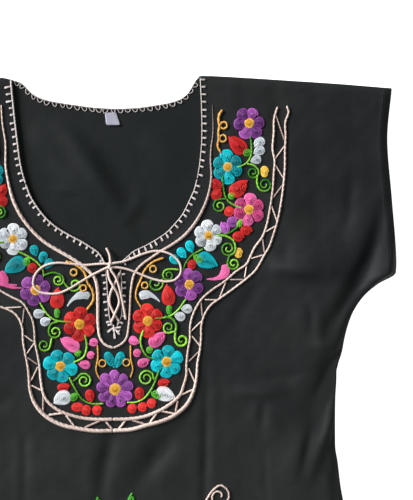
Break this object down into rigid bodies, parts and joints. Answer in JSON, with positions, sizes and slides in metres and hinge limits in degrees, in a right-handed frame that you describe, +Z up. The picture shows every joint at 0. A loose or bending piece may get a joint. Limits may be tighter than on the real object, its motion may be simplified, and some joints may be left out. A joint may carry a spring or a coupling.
{
  "type": "embroidered mexican dress",
  "caption": "Loose embroidered dress laid flat, front up, with wide half sleeves, a deep round neck, a laced front slit and an A-line skirt.",
  "frame": {"origin": "middle of the dress on the surface it lies on: the centre of its bounding box, at the underside of the back panel", "axes": "+Y along the dress from the hem towards the neck, +X to the right as seen from above, +Z up from the surface, out of the front"},
  "size_m": [0.7, 0.9698, 0.0115],
  "materials": {
    "cloth": "matte plain-weave cotton",
    "lacing": "soft twisted cord",
    "label_tape": "smooth woven tape",
    "embroidery": "lustrous satin-stitch thread"
  },
  "bodies": {
    "root": {"back_panel": "cloth", "front_panel": "cloth", "size_label": "label_tape", "lace_knot": "lacing", "lace_left_loop": "lacing", "lace_right_loop": "lacing", "lace_short_end": "lacing", "lace_long_end": "lacing", "lace_left_run": "lacing", "lace_right_run": "lacing"}
  },
  "joints": []
}
